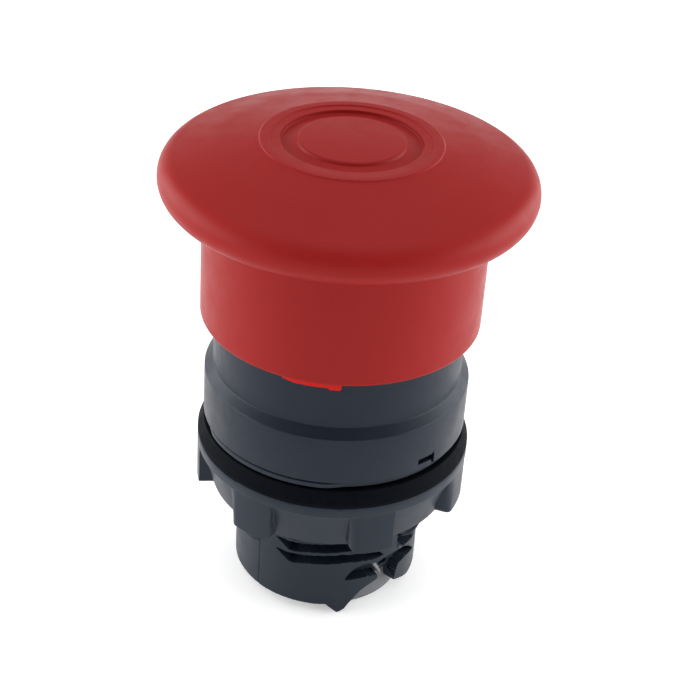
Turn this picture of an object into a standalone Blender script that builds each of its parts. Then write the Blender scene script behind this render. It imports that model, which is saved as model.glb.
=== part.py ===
"""Emergency stop button: a 22 mm push-pull operator head with a 40 mm mushroom cap.

The origin is on the axis, in the plane where the gasket meets the panel, and +Z points to the cap.
Azimuths are in degrees: 0 is the front (-Y), and they grow towards +X.
"""

import math

import bmesh
import bpy

MM = 0.001
GAP = 0.3 * MM  # free space between touching pieces
STROKE = 5.0 * MM
FINE = 48  # steps round a large turned piece
COARSE = 28  # steps round a small one

# mushroom cap
RIM_Z = 31.7 * MM
RIM_R = 20.0 * MM
RIM_ROUND = 2.3 * MM
DOME_IN_R = 9.66 * MM
DOME_IN_Z = 35.95 * MM
SKIRT_R = 15.35 * MM
SKIRT_IN_R = 14.05 * MM
SKIRT_Z = 15.64 * MM

# cap carrier
TONGUE_COUNT = 3
TONGUE_START = -21.0
TONGUE_END = 2.5
TONGUE_IN_R = 14.02 * MM
TONGUE_OUT_R = 14.5 * MM
TONGUE_Z = 14.6 * MM
CARRIER_TOP_Z = 29.4 * MM
CARRIER_LOW_Z = 27.6 * MM
HUB_Z = 24.0 * MM

# stem, screw and pusher
STEM_R = 4.3 * MM
SPIGOT_R = 3.0 * MM
SCREW_R = 1.45 * MM
LATCH_Z = 2.5 * MM  # height of the lever pivots
GROOVE_Z = LATCH_Z + STROKE / 2
SPRING_FLANGE_Z = -2.4 * MM
SPRING_FLANGE_R = 8.3 * MM
SPRING_FLANGE_DEEP = 1.3 * MM
PUSHER_Z = -18.4 * MM

# housing: collar, bezel, barrel and gasket
COLLAR_R = 13.8 * MM
COLLAR_TOP_Z = 22.0 * MM
SHOULDER_Z = 9.5 * MM
BEZEL_R = 14.75 * MM
BEZEL_TOP_Z = 8.6 * MM
BEZEL_LOW_Z = 2.9 * MM
LIP_R = 14.6 * MM
GASKET_R = 15.4 * MM
GASKET_TOP_R = 14.75 * MM
GASKET_TOP_Z = 1.95 * MM
BARREL_R = 10.65 * MM
THREAD_R = 11.2 * MM  # crests of the side sectors
THREAD_LOW_Z = -11.4 * MM
BORE_R = 9.4 * MM  # round the latch cage
SPRING_BORE_R = 9.05 * MM  # round the return spring
TRACK_R = 9.45 * MM  # floor of the bayonet track
BARREL_LOW_Z = -17.45 * MM
TOOTH_Z = -18.65 * MM

# fixing nut
NUT_R = 15.4 * MM
NUT_TOP_Z = -GAP
NUT_FLANGE_Z = -1.25 * MM
NUT_LOW_Z = -6.14 * MM
NUT_BORE_R = THREAD_R + GAP
LUG_COUNT = 7
LUG_FIRST = 19.4
LUG_WIDTH = 18.2
LUG_LOW_Z = -5.95 * MM

# latch
PIVOT_R = 7.2 * MM
LEVER_LENGTH = 4.6 * MM
LEVER_ANGLE = math.asin(STROKE / 2 / LEVER_LENGTH)
LEVER_HALF_WIDTH = 1.5 * MM
EYE_R = 1.15 * MM
TIP_R = 0.5 * MM
PIN_R = 0.5 * MM
PIN_HALF = 2.9 * MM
CAGE_R = 9.1 * MM
CAGE_BORE_R = 5.0 * MM
CAGE_LOW_Z = -2.0 * MM
CAGE_TOP_Z = 7.0 * MM

# return spring and its retainer
COIL_R = 7.6 * MM
WIRE_R = 0.4 * MM
COIL_TURNS = 5
RETAINER_TOP_Z = -15.3 * MM
RETAINER_MID_Z = -16.7 * MM
RETAINER_LOW_Z = -18.6 * MM


def clear_scene():
    """Removes whatever the scene holds."""
    for obj in list(bpy.data.objects):
        bpy.data.objects.remove(obj, do_unlink=True)


def material(name, colour, roughness, metallic=0.0):
    """A Principled BSDF material with the given finish."""
    made = bpy.data.materials.new(name)
    made.use_nodes = True
    shader = made.node_tree.nodes["Principled BSDF"]
    shader.inputs["Base Color"].default_value = (*colour, 1.0)
    shader.inputs["Roughness"].default_value = roughness
    shader.inputs["Metallic"].default_value = metallic
    made.diffuse_color = (*colour, 1.0)
    return made


def red_cap_plastic():
    return material("red_cap_plastic", (0.44, 0.022, 0.018), 0.42)


def bright_red_plastic():
    return material("bright_red_plastic", (0.62, 0.045, 0.020), 0.40)


def dark_plastic(name):
    return material(name, (0.045, 0.052, 0.066), 0.48)


def black_rubber(name):
    return material(name, (0.012, 0.013, 0.015), 0.75)


def white_plastic(name):
    return material(name, (0.72, 0.70, 0.64), 0.45)


def steel(name):
    return material(name, (0.56, 0.57, 0.58), 0.28, 1.0)


def place(name, bm, finish):
    """Turns a bmesh into a smooth-shaded object with its faces pointing out."""
    bmesh.ops.recalc_face_normals(bm, faces=bm.faces)
    mesh = bpy.data.meshes.new(name)
    bm.to_mesh(mesh)
    bm.free()
    mesh.shade_smooth()
    mesh.set_sharp_from_angle(angle=math.radians(35))
    obj = bpy.data.objects.new(name, mesh)
    bpy.context.scene.collection.objects.link(obj)
    if finish:
        mesh.materials.append(finish)
    return obj


def cut(target, tool, operation="DIFFERENCE"):
    """Cuts the tool out of the target, or joins it on, and hides the tool."""
    tool.hide_render = True
    tool.display_type = "WIRE"
    boolean = target.modifiers.new(tool.name, "BOOLEAN")
    boolean.operation = operation
    boolean.object = tool
    boolean.solver = "EXACT"


def ring(low, high, inner, outer):
    """The outline of a plain ring, as (radius, z) points."""
    return [(inner, low), (outer, low), (outer, high), (inner, high)]


def arc(centre_r, centre_z, radius, start, end, count):
    """Points on an arc in the (radius, z) plane; angles in degrees, 90 is up."""
    points = []
    for i in range(count + 1):
        a = math.radians(start + (end - start) * i / count)
        points.append((centre_r + radius * math.cos(a), centre_z + radius * math.sin(a)))
    return points


def turned(name, outline, finish, steps=FINE):
    """Spins an outline round the axis. One that starts and ends on the axis stays open there."""
    bm = bmesh.new()
    verts = [bm.verts.new((r, 0.0, z)) for r, z in outline]
    pairs = list(zip(verts, verts[1:]))
    if outline[0][0] > 0 or outline[-1][0] > 0:
        pairs.append((verts[-1], verts[0]))
    edges = [bm.edges.new(pair) for pair in pairs]
    bmesh.ops.spin(
        bm, geom=verts + edges, cent=(0, 0, 0), axis=(0, 0, 1),
        angle=2 * math.pi, steps=steps, use_merge=True,
    )
    bmesh.ops.remove_doubles(bm, verts=bm.verts, dist=1e-7)
    return place(name, bm, finish)


def add_wall(bm, columns, inner, outer):
    """Adds a piece of curved wall. Each column is (azimuth, lower z, upper z)."""
    sections = []
    for azimuth, low, high in columns:
        a = math.radians(azimuth)
        corners = [(inner, low), (outer, low), (outer, high), (inner, high)]
        sections.append([bm.verts.new((r * math.sin(a), -r * math.cos(a), z)) for r, z in corners])
    for one, two in zip(sections, sections[1:]):
        for i in range(4):
            j = (i + 1) % 4
            bm.faces.new((one[i], one[j], two[j], two[i]))
    bm.faces.new(sections[0])
    bm.faces.new(reversed(sections[-1]))


def even_columns(start, end, low, high, pitch=5.0):
    """Columns of equal height between two azimuths."""
    count = max(1, math.ceil((end - start) / pitch))
    return [(start + (end - start) * i / count, low, high) for i in range(count + 1)]


def shaped_columns(points, pitch=5.0):
    """Columns whose ends run straight between the given (azimuth, lower z, upper z) points."""
    columns = [points[0]]
    for one, two in zip(points, points[1:]):
        count = max(1, math.ceil((two[0] - one[0]) / pitch))
        for i in range(1, count + 1):
            t = i / count
            columns.append(tuple(p + (q - p) * t for p, q in zip(one, two)))
    return columns


def barrel_columns(points, turn):
    """Columns from (azimuth, lower z, upper z) points with heights in millimetres, turned."""
    return shaped_columns([(azimuth + turn, low * MM, high * MM) for azimuth, low, high in points])


def block(name, low, high):
    """A box between two corners."""
    bm = bmesh.new()
    bmesh.ops.create_cube(bm, size=1.0)
    for vert in bm.verts:
        vert.co = [lo + (hi - lo) * (c + 0.5) for lo, hi, c in zip(low, high, vert.co)]
    return place(name, bm, None)


def rod_along_y(name, radius, half, finish, steps=16):
    """A rod along Y through its own origin."""
    bm = bmesh.new()
    bmesh.ops.create_cone(
        bm, cap_ends=True, segments=steps, radius1=radius, radius2=radius, depth=2 * half,
    )
    for vert in bm.verts:
        x, y, z = vert.co
        vert.co = (x, z, y)
    return place(name, bm, finish)


def tongue_sectors():
    """(start, end) azimuths of the carrier's tongues."""
    turn = 360.0 / TONGUE_COUNT
    return [(TONGUE_START + turn * i, TONGUE_END + turn * i) for i in range(TONGUE_COUNT)]


def mushroom_cap():
    """Shallow dome with a ring relief, a full round rim and a skirt, hollow inside."""
    relief = [
        (0, 36.12), (5.6, 36.12), (5.85, 35.9), (5.85, 35.5), (7.44, 35.5), (7.44, 36.0),
        (8.51, 36.0), (8.51, 36.12), (9.5, 36.12),
    ]
    outline = [(r * MM, z * MM) for r, z in relief]
    outline.append((DOME_IN_R, DOME_IN_Z))
    outline.append((14.0 * MM, 35.2 * MM))
    outline += arc(RIM_R - RIM_ROUND, RIM_Z, RIM_ROUND, 90, -90, 8)
    outline.append((SKIRT_R + 0.4 * MM, RIM_Z - RIM_ROUND))
    outline.append((SKIRT_R, RIM_Z - RIM_ROUND - 0.4 * MM))
    outline += arc(SKIRT_R - 0.3 * MM, SKIRT_Z + 0.3 * MM, 0.3 * MM, 0, -90, 2)
    outline.append((SKIRT_IN_R, SKIRT_Z))
    outline.append((SKIRT_IN_R, 30.6 * MM))
    outline.append((12.6 * MM, 32.9 * MM))
    outline.append((0, 33.9 * MM))
    cap = turned("mushroom_cap", outline, red_cap_plastic())
    bm = bmesh.new()
    for start, end in tongue_sectors():
        columns = even_columns(start - 1.3, end + 1.3, SKIRT_Z - MM, CARRIER_TOP_Z + GAP)
        add_wall(bm, columns, SKIRT_IN_R - 0.5 * MM, TONGUE_OUT_R + 0.25 * MM)
    cut(cap, place("cap_tongue_grooves", bm, None))


def cap_carrier():
    """Disc under the cap with a hub for the stem and three long tongues along the skirt."""
    disc_r = SKIRT_IN_R - GAP
    outline = [
        (SCREW_R + GAP, CARRIER_TOP_Z), (disc_r, CARRIER_TOP_Z), (disc_r, CARRIER_LOW_Z),
        (5.8 * MM, CARRIER_LOW_Z), (5.8 * MM, HUB_Z), (SPIGOT_R + GAP, HUB_Z),
        (SPIGOT_R + GAP, 28.2 * MM), (SCREW_R + GAP, 28.2 * MM),
    ]
    carrier = turned("cap_carrier", outline, bright_red_plastic())
    bm = bmesh.new()
    for start, end in tongue_sectors():
        add_wall(bm, even_columns(start, end, TONGUE_Z, CARRIER_TOP_Z), TONGUE_IN_R, TONGUE_OUT_R)
    tongues = place("carrier_tongues", bm, None)
    bm = bmesh.new()
    for start, end in tongue_sectors():
        columns = even_columns(start, end, CARRIER_LOW_Z + 0.1 * MM, CARRIER_TOP_Z - 0.1 * MM)
        add_wall(bm, columns, disc_r - MM, TONGUE_OUT_R - 0.1 * MM)
    roots = place("carrier_tongue_roots", bm, None)
    cut(carrier, roots, "UNION")
    cut(carrier, tongues, "UNION")


def carrier_screw():
    """Pan head screw from the carrier into the stem, with a cross recess."""
    head_z = CARRIER_TOP_Z + 0.5 * MM + 2 * GAP
    outline = [
        (0, 20.0 * MM), (SCREW_R * 0.6, 20.0 * MM), (SCREW_R, 20.6 * MM), (SCREW_R, head_z),
        (2.8 * MM, head_z), (2.8 * MM, head_z + 1.0 * MM), (2.0 * MM, head_z + 1.7 * MM),
        (0, head_z + 1.9 * MM),
    ]
    screw = turned("carrier_screw", outline, steel("zinc_steel_screw"), 24)
    reach, half, top = 1.5 * MM, 0.25 * MM, head_z + 3 * MM
    floor = head_z + 0.8 * MM
    cut(screw, block("recess_along_x", (-reach, -half, floor), (reach, half, top)))
    cut(screw, block("recess_along_y", (-half, -reach, floor), (half, reach, top)))


def screw_washer():
    """Flat washer between the screw head and the carrier."""
    low = CARRIER_TOP_Z + GAP
    turned("screw_washer", ring(low, low + 0.5 * MM, SCREW_R + GAP, 3.5 * MM), steel("washer_steel"), 24)


def operating_stem():
    """Centre shaft: blind screw hole, spigot, latch groove, spring flange and lower spigot."""
    half, mouth = 0.95 * MM, 1.75 * MM
    throat_r, core_r = 3.3 * MM, 1.7 * MM
    flange_low = SPRING_FLANGE_Z - SPRING_FLANGE_DEEP
    outline = [
        (0, 19.0 * MM), (SCREW_R + GAP, 19.0 * MM), (SCREW_R + GAP, 27.9 * MM), (SPIGOT_R, 27.9 * MM),
        (SPIGOT_R, HUB_Z - GAP), (STEM_R, HUB_Z - GAP),
        (STEM_R, GROOVE_Z + mouth), (throat_r, GROOVE_Z + half), (core_r, GROOVE_Z + half),
        (core_r, GROOVE_Z - half), (throat_r, GROOVE_Z - half), (STEM_R, GROOVE_Z - mouth),
        (STEM_R, SPRING_FLANGE_Z), (SPRING_FLANGE_R, SPRING_FLANGE_Z),
        (SPRING_FLANGE_R, flange_low), (STEM_R, flange_low), (STEM_R, -10.9 * MM),
        (SPIGOT_R, -10.9 * MM), (SPIGOT_R, -15.5 * MM), (0, -15.5 * MM),
    ]
    turned("operating_stem", outline, white_plastic("stem_plastic"), COARSE)


def contact_pusher():
    """Foot on the stem's lower end that presses the contact blocks."""
    outline = [
        (0, PUSHER_Z), (4.6 * MM, PUSHER_Z), (4.9 * MM, PUSHER_Z + 0.3 * MM), (4.9 * MM, -11.2 * MM),
        (SPIGOT_R + GAP, -11.2 * MM), (SPIGOT_R + GAP, -15.8 * MM), (0, -15.8 * MM),
    ]
    turned("contact_pusher", outline, white_plastic("pusher_plastic"), COARSE)


def wiper_seal():
    """Rubber lip seal round the stem, resting on the collar's web."""
    outline = [
        (8.5, 14.5), (8.5, 16.6), (6.9, 16.6), (6.9, 15.4), (5.5, 15.4), (4.72, 16.8), (4.6, 16.3),
        (5.1, 14.5),
    ]
    turned("wiper_seal", [(r * MM, z * MM) for r, z in outline], black_rubber("seal_rubber"), COARSE)


def seal_retainer():
    """Ring that holds the lip seal on the web."""
    turned("seal_retainer", ring(16.9 * MM, 18.2 * MM, 6.2 * MM, 12.0 * MM),
           dark_plastic("retainer_plastic"), COARSE)


def bezel_collar():
    """Collar that the skirt slides over, with the shoulder, the bezel ring and an inner web."""
    inner_r = COLLAR_R - 1.5 * MM
    seat_r = BEZEL_R - 1.25 * MM
    outline = [
        (COLLAR_R - 0.3 * MM, COLLAR_TOP_Z), (COLLAR_R, COLLAR_TOP_Z - 0.3 * MM),
        (COLLAR_R, SHOULDER_Z), (BEZEL_R, BEZEL_TOP_Z), (BEZEL_R, BEZEL_LOW_Z),
        (seat_r, BEZEL_LOW_Z), (seat_r, 6.2 * MM), (11.5 * MM, 6.2 * MM), (11.5 * MM, 9.4 * MM),
        (10.9 * MM, 9.4 * MM), (10.9 * MM, 12.0 * MM), (STEM_R + 0.4 * MM, 12.0 * MM),
        (STEM_R + 0.4 * MM, 14.2 * MM), (inner_r, 14.2 * MM), (inner_r, COLLAR_TOP_Z),
    ]
    collar = turned("bezel_collar", outline, dark_plastic("collar_plastic"))
    slots, ends = bmesh.new(), bmesh.new()
    for start in (39.6, 219.6):
        for cutter, first, last, low, high in ((slots, 0, 9.1, 3.7, 4.3), (ends, 7.3, 9.2, 2.7, 4.4)):
            columns = even_columns(start + first, start + last, low * MM, high * MM)
            add_wall(cutter, columns, BEZEL_R - 0.7 * MM, BEZEL_R + MM)
    cut(collar, place("snap_arm_slots", slots, None))
    cut(collar, place("snap_arm_ends", ends, None))


def housing_oring():
    """O-ring between the barrel's flange and the collar."""
    turned("housing_oring", arc(12.35 * MM, 5.05 * MM, 0.75 * MM, 0, 315, 7),
           black_rubber("oring_rubber"), 48)


def threaded_barrel():
    """Barrel with its flange and neck, raised thread sectors, bayonet tracks, end teeth and ramps."""
    outline = [
        (11.2 * MM, 9.1 * MM), (11.2 * MM, 4.0 * MM), (13.2 * MM, 4.0 * MM), (13.2 * MM, 2.7 * MM),
        (LIP_R, 2.65 * MM), (LIP_R, 2.25 * MM), (BARREL_R, 2.25 * MM), (BARREL_R, BARREL_LOW_Z),
        (SPRING_BORE_R, BARREL_LOW_Z), (SPRING_BORE_R, -2.3 * MM), (BORE_R, -2.3 * MM),
        (BORE_R, 9.1 * MM),
    ]
    barrel = turned("threaded_barrel", outline, dark_plastic("barrel_plastic"))
    under = BARREL_LOW_Z / MM - 2
    tooth = [(1.0, -17.46, -16), (9.2, TOOTH_Z / MM, -16), (9.9, TOOTH_Z / MM, -16), (17.2, -17.46, -16)]
    pocket = [(14.5, -13.9, -13.7), (18.9, -13.9, -12.65), (31.0, -14.0, -12.3), (35.2, -14.4, -12.2)]
    throat = [(33.9, under, -12.13), (50.8, under, -12.13)]
    ramp = [
        (16.9, under, -17.44), (18.6, under, -17.1), (21.5, under, -16.4), (28.4, under, -15.3),
        (35.2, under, -14.75), (50.6, under, -14.45),
    ]
    side_track = [(50.3, -13.75, -12.2), (84.0, -14.9, -12.15)]
    chamfer = [(50.4, under, -16.4), (72.0, under, -17.44)]
    window = [(41.5, -14.0, -12.5), (49.0, -14.0, -12.5)]
    sector = [(51.0, THREAD_LOW_Z / MM, 2.3), (136.0, THREAD_LOW_Z / MM, 2.3)]
    threads = bmesh.new()
    for turn in (0.0, 180.0):
        add_wall(threads, barrel_columns(sector, turn), BORE_R + 0.4 * MM, THREAD_R)
    cut(barrel, place("thread_sectors", threads, None), "UNION")
    teeth = bmesh.new()
    through = SPRING_BORE_R - MM
    tracks = {
        "ramps": (ramp, through), "throats": (throat, TRACK_R - 0.15 * MM), "pockets": (pocket, TRACK_R),
        "side_tracks": (side_track, TRACK_R), "chamfers": (chamfer, TRACK_R), "spring_windows": (window, through),
    }
    for turn in (0.0, 180.0):
        add_wall(teeth, barrel_columns(tooth, turn), SPRING_BORE_R + 0.1 * MM, BARREL_R - 0.1 * MM)
    cut(barrel, place("coupling_teeth", teeth, None), "UNION")
    for name, (points, inner) in tracks.items():
        bm = bmesh.new()
        for turn in (0.0, 180.0):
            add_wall(bm, barrel_columns(points, turn), inner, BARREL_R + MM)
        cut(barrel, place(name, bm, None))


def panel_gasket():
    """Rubber ring with a sloping face that seals on the panel."""
    outline = [
        (NUT_BORE_R, 0), (GASKET_R, 0), (GASKET_R, 0.3 * MM), (GASKET_TOP_R, GASKET_TOP_Z),
        (NUT_BORE_R, GASKET_TOP_Z),
    ]
    turned("panel_gasket", outline, black_rubber("gasket_rubber"))


def fixing_nut():
    """Flanged nut with a tapering wall and gripping lugs."""
    outline = [
        (NUT_BORE_R, NUT_TOP_Z), (NUT_R, NUT_TOP_Z), (NUT_R, NUT_FLANGE_Z), (15.05 * MM, NUT_FLANGE_Z),
        (13.66 * MM, NUT_LOW_Z), (NUT_BORE_R, NUT_LOW_Z),
    ]
    nut = turned("fixing_nut", outline, dark_plastic("nut_plastic"), 56)
    bm = bmesh.new()
    for i in range(LUG_COUNT):
        centre = LUG_FIRST + 360.0 / LUG_COUNT * i
        columns = even_columns(centre - LUG_WIDTH / 2, centre + LUG_WIDTH / 2, LUG_LOW_Z, -0.8 * MM)
        add_wall(bm, columns, 12.8 * MM, NUT_R - 0.02 * MM)
    cut(nut, place("nut_lugs", bm, None), "UNION")


def latch_cage():
    """Bush inside the barrel with a window for each lever and holes for their pins."""
    groove_r = 8.35 * MM
    groove_low, groove_high = LATCH_Z - 1.7 * MM, LATCH_Z + 1.7 * MM
    outline = [
        (CAGE_BORE_R, CAGE_LOW_Z), (CAGE_R, CAGE_LOW_Z), (CAGE_R, groove_low), (groove_r, groove_low),
        (groove_r, groove_high), (CAGE_R, groove_high), (CAGE_R, CAGE_TOP_Z), (CAGE_BORE_R, CAGE_TOP_Z),
    ]
    cage = turned("latch_cage", outline, white_plastic("cage_plastic"), COARSE)
    reach, half_width, half_height = 9.6 * MM, LEVER_HALF_WIDTH + 0.4 * MM, 3.7 * MM
    for side, sign in (("left", -1), ("right", 1)):
        ends = sorted((sign * 4.0 * MM, sign * reach))
        window = block(
            f"lever_window_{side}", (ends[0], -half_width, LATCH_Z - half_height),
            (ends[1], half_width, LATCH_Z + half_height),
        )
        hole = rod_along_y(f"pin_hole_{side}", PIN_R + GAP, PIN_HALF + 0.25 * MM, None)
        hole.location = (sign * PIVOT_R, 0, LATCH_Z)
        cut(cage, window)
        cut(cage, hole)


def latch_pins():
    """Pivot pin of each lever."""
    for side, sign in (("left", -1), ("right", 1)):
        pin = rod_along_y(f"latch_pin_{side}", PIN_R, PIN_HALF, steel(f"pin_steel_{side}"), 12)
        pin.location = (sign * PIVOT_R, 0, LATCH_Z)


def lever_mesh(name, finish):
    """Tapered lever whose eye is at the origin and whose tip reaches up towards -X."""
    outline = []
    for centre, radius, start, end in ((0.0, EYE_R, -90, 90), (-LEVER_LENGTH, TIP_R, 90, 270)):
        outline += arc(centre, 0.0, radius, start, end, 6)
    bm = bmesh.new()
    turn = LEVER_ANGLE
    near = []
    for x, z in outline:
        leaned = (x * math.cos(turn) + z * math.sin(turn), -x * math.sin(turn) + z * math.cos(turn))
        near.append(bm.verts.new((leaned[0], -LEVER_HALF_WIDTH, leaned[1])))
    face = bm.faces.new(near)
    grown = bmesh.ops.extrude_face_region(bm, geom=[face])
    for item in grown["geom"]:
        if isinstance(item, bmesh.types.BMVert):
            item.co.y = LEVER_HALF_WIDTH
    return place(name, bm, finish)


def latch_levers():
    """The two over-centre levers, each with its origin on its pivot."""
    for side, sign in (("left", -1), ("right", 1)):
        lever = lever_mesh(f"latch_lever_{side}", steel(f"lever_steel_{side}"))
        lever.location = (sign * PIVOT_R, 0, LATCH_Z)
        lever.rotation_euler = (0, 0, 0 if sign > 0 else math.pi)
        eye = rod_along_y(f"lever_eye_{side}", PIN_R + 0.25 * MM, LEVER_HALF_WIDTH + MM, None, 12)
        eye.location = lever.location
        cut(lever, eye)


def latch_ring_spring():
    """Open ring spring round the cage, gap at the back, that presses both pins inward."""
    bm = bmesh.new()
    columns = even_columns(-160.0, 160.0, LATCH_Z - 1.4 * MM, LATCH_Z + 1.4 * MM, 10.0)
    add_wall(bm, columns, 8.65 * MM, 9.05 * MM)
    place("latch_ring_spring", bm, steel("ring_spring_steel"))


def spring_retainer():
    """Ring at the barrel's foot: a low collar centres the return spring, a skirt shows at the openings."""
    outer_r, skirt_r, step_r, inner_r, hole_r = 8.75 * MM, 7.3 * MM, 6.8 * MM, 6.0 * MM, 5.2 * MM
    step_z = RETAINER_TOP_Z + MM
    outline = [
        (skirt_r, RETAINER_LOW_Z), (outer_r, RETAINER_LOW_Z), (outer_r, RETAINER_TOP_Z),
        (step_r, RETAINER_TOP_Z), (step_r, step_z), (inner_r, step_z), (inner_r, RETAINER_TOP_Z),
        (hole_r, RETAINER_TOP_Z), (hole_r, RETAINER_MID_Z), (skirt_r, RETAINER_MID_Z),
    ]
    turned("spring_retainer", outline, material("grey_plastic", (0.40, 0.41, 0.43), 0.5))


def return_spring():
    """Compression spring between the retainer and the stem's flange."""
    low = RETAINER_TOP_Z + GAP + WIRE_R
    high = SPRING_FLANGE_Z - SPRING_FLANGE_DEEP - GAP - WIRE_R
    per_turn = 20
    count = COIL_TURNS * per_turn
    curve = bpy.data.curves.new("return_spring", "CURVE")
    curve.dimensions = "3D"
    curve.bevel_depth = WIRE_R
    curve.bevel_resolution = 1
    curve.use_fill_caps = True
    spline = curve.splines.new("POLY")
    spline.points.add(count)
    for i, point in enumerate(spline.points):
        a = 2 * math.pi * i / per_turn
        z = low + (high - low) * i / count
        point.co = (COIL_R * math.sin(a), -COIL_R * math.cos(a), z, 1.0)
    curve.materials.append(steel("return_spring_steel"))
    spring = bpy.data.objects.new("return_spring", curve)
    bpy.context.scene.collection.objects.link(spring)


def main():
    clear_scene()
    mushroom_cap()
    cap_carrier()
    carrier_screw()
    screw_washer()
    operating_stem()
    contact_pusher()
    wiper_seal()
    seal_retainer()
    bezel_collar()
    housing_oring()
    threaded_barrel()
    panel_gasket()
    fixing_nut()
    latch_cage()
    latch_pins()
    latch_levers()
    latch_ring_spring()
    spring_retainer()
    return_spring()


main()
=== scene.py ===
"""Looks of the emergency stop button: fine meshes, plastics, rubber and steel around the CAD frame.

Sizes of the pieces are in millimetres and become metres when a mesh is made. Camera, lights, floor and
bump depths are in metres. Azimuths are in degrees: 0 is the front (-Y), and they grow towards +X.
Heights are measured from the panel plane, up towards the cap.
"""

import math

import bmesh
import bpy
from mathutils import Matrix, Vector


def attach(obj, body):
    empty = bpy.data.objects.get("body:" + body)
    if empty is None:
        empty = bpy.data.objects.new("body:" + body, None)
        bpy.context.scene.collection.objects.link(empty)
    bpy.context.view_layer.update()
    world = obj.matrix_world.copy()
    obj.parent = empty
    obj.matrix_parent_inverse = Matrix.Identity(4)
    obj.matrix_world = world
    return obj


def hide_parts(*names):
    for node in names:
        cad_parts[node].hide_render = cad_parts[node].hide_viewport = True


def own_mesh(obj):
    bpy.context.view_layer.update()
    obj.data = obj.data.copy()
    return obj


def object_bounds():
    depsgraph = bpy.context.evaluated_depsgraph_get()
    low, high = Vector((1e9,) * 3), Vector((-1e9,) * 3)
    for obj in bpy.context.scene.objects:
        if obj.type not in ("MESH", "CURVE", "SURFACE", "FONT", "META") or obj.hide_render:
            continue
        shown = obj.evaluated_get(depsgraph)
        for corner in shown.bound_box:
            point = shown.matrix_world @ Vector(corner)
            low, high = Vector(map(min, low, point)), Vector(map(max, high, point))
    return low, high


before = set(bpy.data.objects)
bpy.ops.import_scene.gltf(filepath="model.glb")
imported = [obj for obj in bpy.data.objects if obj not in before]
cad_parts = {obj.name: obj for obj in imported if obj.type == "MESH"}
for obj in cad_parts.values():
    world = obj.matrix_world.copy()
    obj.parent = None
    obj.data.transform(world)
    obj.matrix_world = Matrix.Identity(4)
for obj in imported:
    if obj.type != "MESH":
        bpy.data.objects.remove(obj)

cad_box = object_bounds()

MM = 0.001
STEPS = 240  # round a large turned piece
SMALL_STEPS = 96  # round a small one


# ---------------------------------------------------------------- camera and light

CAMERA_PLACE = Vector((0.0, -0.15473, 0.10806))
CAMERA_PITCH = math.radians(32.226)
CAMERA_ROLL = math.radians(4.1425)
CAMERA_YAW = math.radians(0.492)
CAMERA_LENS = 84.77  # millimetres, for a sensor 36 mm wide
FLOOR_GAP = 0.0001
FLOOR_HALF = 3.0
FLOOR_GLOW = 0.36
LIGHT_TARGET = Vector((0.0, 0.0, 0.01))
SKY = [(0.0, 0.80), (0.35, 0.70), (0.60, 0.60), (0.84, 2.1), (1.0, 3.0)]  # sine of elevation, brightness
FRONT_STRENGTH, SIDE_STRENGTH = 0.08, 0.72  # of the world straight in front, and from the sides to the back


def make_camera():
    """Camera at the viewing angle of the picture, from a fit to the object's round edges."""
    forward = Vector((
        math.sin(CAMERA_YAW) * math.cos(CAMERA_PITCH),
        math.cos(CAMERA_YAW) * math.cos(CAMERA_PITCH),
        -math.sin(CAMERA_PITCH),
    ))
    level = Vector((math.cos(CAMERA_YAW), -math.sin(CAMERA_YAW), 0.0))
    rise = level.cross(forward)
    right = level * math.cos(CAMERA_ROLL) + rise * math.sin(CAMERA_ROLL)
    up = rise * math.cos(CAMERA_ROLL) - level * math.sin(CAMERA_ROLL)
    data = bpy.data.cameras.new("camera")
    data.lens = CAMERA_LENS
    data.sensor_width = 36.0
    data.clip_start = 0.01
    data.clip_end = 20.0
    camera = bpy.data.objects.new("camera", data)
    turn = Matrix((right, up, -forward)).transposed().to_4x4()
    camera.matrix_world = Matrix.Translation(CAMERA_PLACE) @ turn
    bpy.context.scene.collection.objects.link(camera)
    bpy.context.scene.camera = camera


def area_light(name, place, size, power):
    """A soft rectangular light facing the object; the camera doesn't see it."""
    data = bpy.data.lights.new(name, "AREA")
    data.shape = "RECTANGLE"
    data.size = size[0]
    data.size_y = size[1]
    data.energy = power
    light = bpy.data.objects.new(name, data)
    light.location = place
    aim = LIGHT_TARGET - Vector(place)
    light.rotation_euler = aim.to_track_quat("-Z", "Y").to_euler()
    light.visible_camera = False
    bpy.context.scene.collection.objects.link(light)


def make_world():
    """Studio surroundings: bright overhead, dimmer towards the horizon, almost dark in front."""
    world = bpy.data.worlds.new("studio")
    world.use_nodes = True
    tree = world.node_tree
    coords = tree.nodes.new("ShaderNodeTexCoord")
    split = tree.nodes.new("ShaderNodeSeparateXYZ")
    ramp = tree.nodes.new("ShaderNodeValToRGB")
    tree.links.new(coords.outputs["Generated"], split.inputs[0])
    tree.links.new(split.outputs["Z"], ramp.inputs["Fac"])
    ramp.color_ramp.elements[0].position = 0.0
    ramp.color_ramp.elements[1].position = 1.0
    for position, level in SKY[1:-1]:
        ramp.color_ramp.elements.new(position)
    for element, (position, level) in zip(ramp.color_ramp.elements, SKY):
        element.position = position
        element.color = (level, level, level * 1.01, 1.0)
    front = tree.nodes.new("ShaderNodeMapRange")
    front.inputs["From Min"].default_value = -1.0
    front.inputs["From Max"].default_value = 0.0
    front.inputs["To Min"].default_value = FRONT_STRENGTH
    front.inputs["To Max"].default_value = SIDE_STRENGTH
    tree.links.new(split.outputs["Y"], front.inputs["Value"])
    tree.links.new(ramp.outputs["Color"], tree.nodes["Background"].inputs["Color"])
    tree.links.new(front.outputs["Result"], tree.nodes["Background"].inputs["Strength"])
    bpy.context.scene.world = world


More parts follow.
